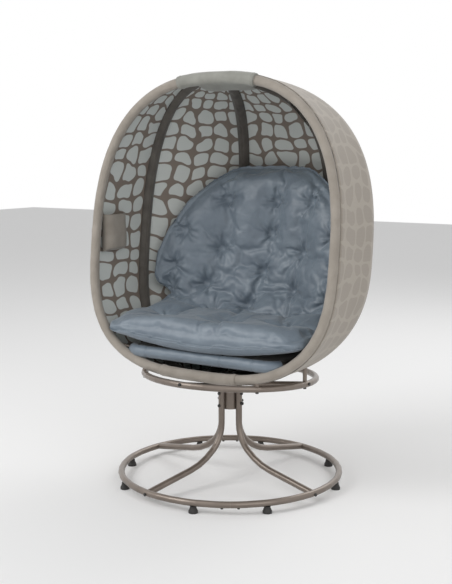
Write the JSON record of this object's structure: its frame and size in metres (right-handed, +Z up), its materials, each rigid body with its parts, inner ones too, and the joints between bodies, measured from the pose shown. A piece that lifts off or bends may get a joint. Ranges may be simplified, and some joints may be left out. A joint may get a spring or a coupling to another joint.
{
  "type": "swivel pod chair",
  "caption": "Egg-shaped outdoor lounge chair: a fabric-covered rib frame with a tufted one-piece cushion, turning on a round floor stand with bent legs.",
  "frame": {"origin": "on the floor, where the swivel axis meets it", "axes": "+Z up along the swivel axis, -Y the way the pod faces, +X to the right as seen from the front; the cup pocket is on the -X side"},
  "size_m": [0.9818, 0.7925, 1.4114],
  "materials": {
    "bronze_paint": "satin taupe bronze",
    "plain_steel": "zinc plated",
    "dark_steel": "black oxide",
    "black_rubber": "matt",
    "bearing_plastic": "acetal",
    "mesh_fabric": "coated open mesh with a printed pattern",
    "taupe_fabric": "woven polyester",
    "dark_fabric": "woven polyester",
    "grey_fabric": "woven polyester",
    "blue_fabric": "slightly shiny polyester"
  },
  "bodies": {
    "stand": {"floor_ring_left": "bronze_paint", "floor_ring_right": "bronze_paint", "ring_spigots": "plain_steel", "ring_screws": "dark_steel", "rubber_feet": "black_rubber", "foot_screws": "dark_steel", "leg_front_left": "bronze_paint", "leg_front_right": "bronze_paint", "leg_back_left": "bronze_paint", "leg_back_right": "bronze_paint", "leg_plugs": "plain_steel", "leg_bolts": "dark_steel", "hub_sleeve": "bronze_paint", "hub_through_bolts": "dark_steel", "hub_cap_nuts": "dark_steel", "hub_upper_screws": "dark_steel", "lower_bush": "bearing_plastic", "upper_bush": "bearing_plastic", "thrust_washer": "bearing_plastic"},
    "pod": {"arm_back": "bronze_paint", "arm_bolts": "dark_steel", "arm_front": "bronze_paint", "arm_left": "bronze_paint", "arm_plugs": "plain_steel", "arm_right": "bronze_paint", "crown_bracket": "bronze_paint", "crown_wrap": "grey_fabric", "cup_pocket": "taupe_fabric", "keel_bracket": "bronze_paint", "keel_wrap": "taupe_fabric", "panel_back": "mesh_fabric", "panel_left_back": "mesh_fabric", "panel_left_front": "mesh_fabric", "panel_right_back": "mesh_fabric", "panel_right_front": "mesh_fabric", "pod_spacers": "bronze_paint", "post_bolt": "dark_steel", "post_head": "bronze_paint", "post_washer": "plain_steel", "rib_left_back": "bronze_paint", "rib_left_side": "bronze_paint", "rib_pivot_bolts": "dark_steel", "rib_right_back": "bronze_paint", "rib_right_side": "bronze_paint", "rib_sleeves": "dark_fabric", "rim_left": "bronze_paint", "rim_right": "bronze_paint", "rim_sleeves": "taupe_fabric", "seat_band": "blue_fabric", "seat_bolts": "dark_steel", "seat_deck": "dark_fabric", "seat_hoop": "bronze_paint", "seat_spacers": "bronze_paint", "spacer_bolts": "dark_steel", "support_ring": "bronze_paint", "swivel_post": "plain_steel"},
    "cushion": {"cushion": "blue_fabric"}
  },
  "joints": [
    {"name": "swivel", "type": "hinge", "parent": "stand", "child": "pod", "pos_m": [0, 0, 0.337], "axis": [0, 0, 1], "continuous": true},
    {"name": "cushion_lift", "type": "slide", "parent": "pod", "child": "cushion", "axis": [0, -0.9397, 0.3419], "range_m": [0, 0.25]}
  ]
}
